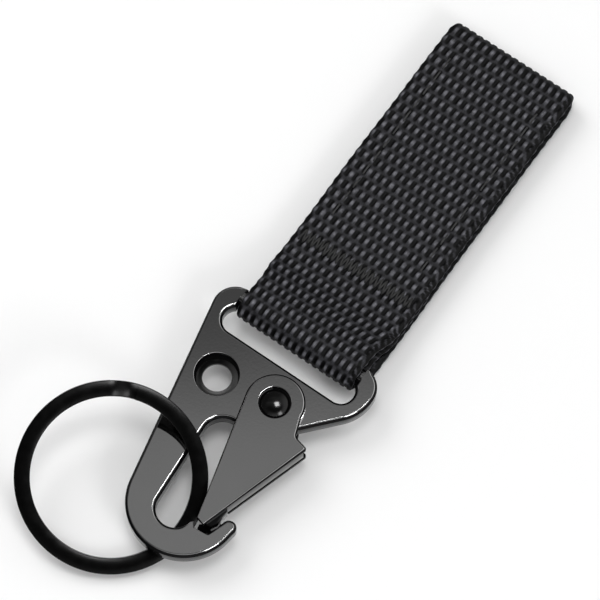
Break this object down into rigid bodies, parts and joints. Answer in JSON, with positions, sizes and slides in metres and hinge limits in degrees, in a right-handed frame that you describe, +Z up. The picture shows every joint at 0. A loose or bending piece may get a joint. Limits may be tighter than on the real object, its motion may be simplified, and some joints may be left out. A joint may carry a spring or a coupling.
{
  "type": "belt key organiser",
  "caption": "Belt-loop key organiser: a folded webbing strap with hook-and-loop closure, a flat snap hook with a sprung gate and a split ring.",
  "frame": {"origin": "bottom centre of the bounding box, with the part lying flat", "axes": "+Y along the strap from the hook to the far fold, +Z up out of the hook's front face, +X towards the gate's side"},
  "size_m": [0.0431, 0.1179, 0.0136],
  "materials": {
    "hook_body": "smooth dark nickel plate on die-cast zinc alloy, black on the bevels",
    "gate": "smooth dark nickel plate",
    "gate_rivet": "gloss black steel",
    "gate_spring": "bare spring steel wire",
    "split_ring": "gloss black",
    "webbing": "coarse plain-woven nylon, black",
    "webbing_tail": "coarse plain-woven nylon, black",
    "hook_tape": "nylon hook tape, black",
    "loop_tape": "brushed nylon loop tape, black",
    "bar_tack": "bonded nylon thread, black",
    "hook_tape_stitches": "bonded nylon thread, black",
    "loop_tape_stitches": "bonded nylon thread, black"
  },
  "bodies": {
    "hook": {"hook_body": "hook_body", "gate_rivet": "gate_rivet", "gate_spring": "gate_spring"},
    "gate": {"gate": "gate"},
    "ring": {"split_ring": "split_ring"},
    "strap": {"webbing": "webbing", "hook_tape": "hook_tape", "bar_tack": "bar_tack", "hook_tape_stitches": "hook_tape_stitches"},
    "tail": {"webbing_tail": "webbing_tail", "loop_tape": "loop_tape", "loop_tape_stitches": "loop_tape_stitches"}
  },
  "joints": [
    {"name": "gate_pivot", "type": "hinge", "parent": "hook", "child": "gate", "pos_m": [0.00877, -0.01744, 0.00535], "axis": [0, 0, -1], "range_deg": [0, 12], "stiffness_Nm_per_rad": 0.015, "springref_deg": -28.65, "deforming": ["gate_spring"]},
    {"name": "ring_swing", "type": "hinge", "parent": "hook", "child": "ring", "pos_m": [0.0047, -0.05377, 0.00049], "axis": [0.102, 0.8927, 0.4389], "range_deg": [0, 69.5]},
    {"name": "strap_swing", "type": "hinge", "parent": "hook", "child": "strap", "pos_m": [0.0057, -0.00499, 0.00535], "axis": [1, 0, 0], "range_deg": [-80, 110]},
    {"name": "tail_open", "type": "hinge", "parent": "strap", "child": "tail", "pos_m": [0.0057, 0.05926, 0.0025], "axis": [1, 0, 0], "range_deg": [0, 150]}
  ],
  "couplings": [
    {"joint": "ring_swing", "follows": "gate_pivot", "ratio": 5.7833}
  ]
}
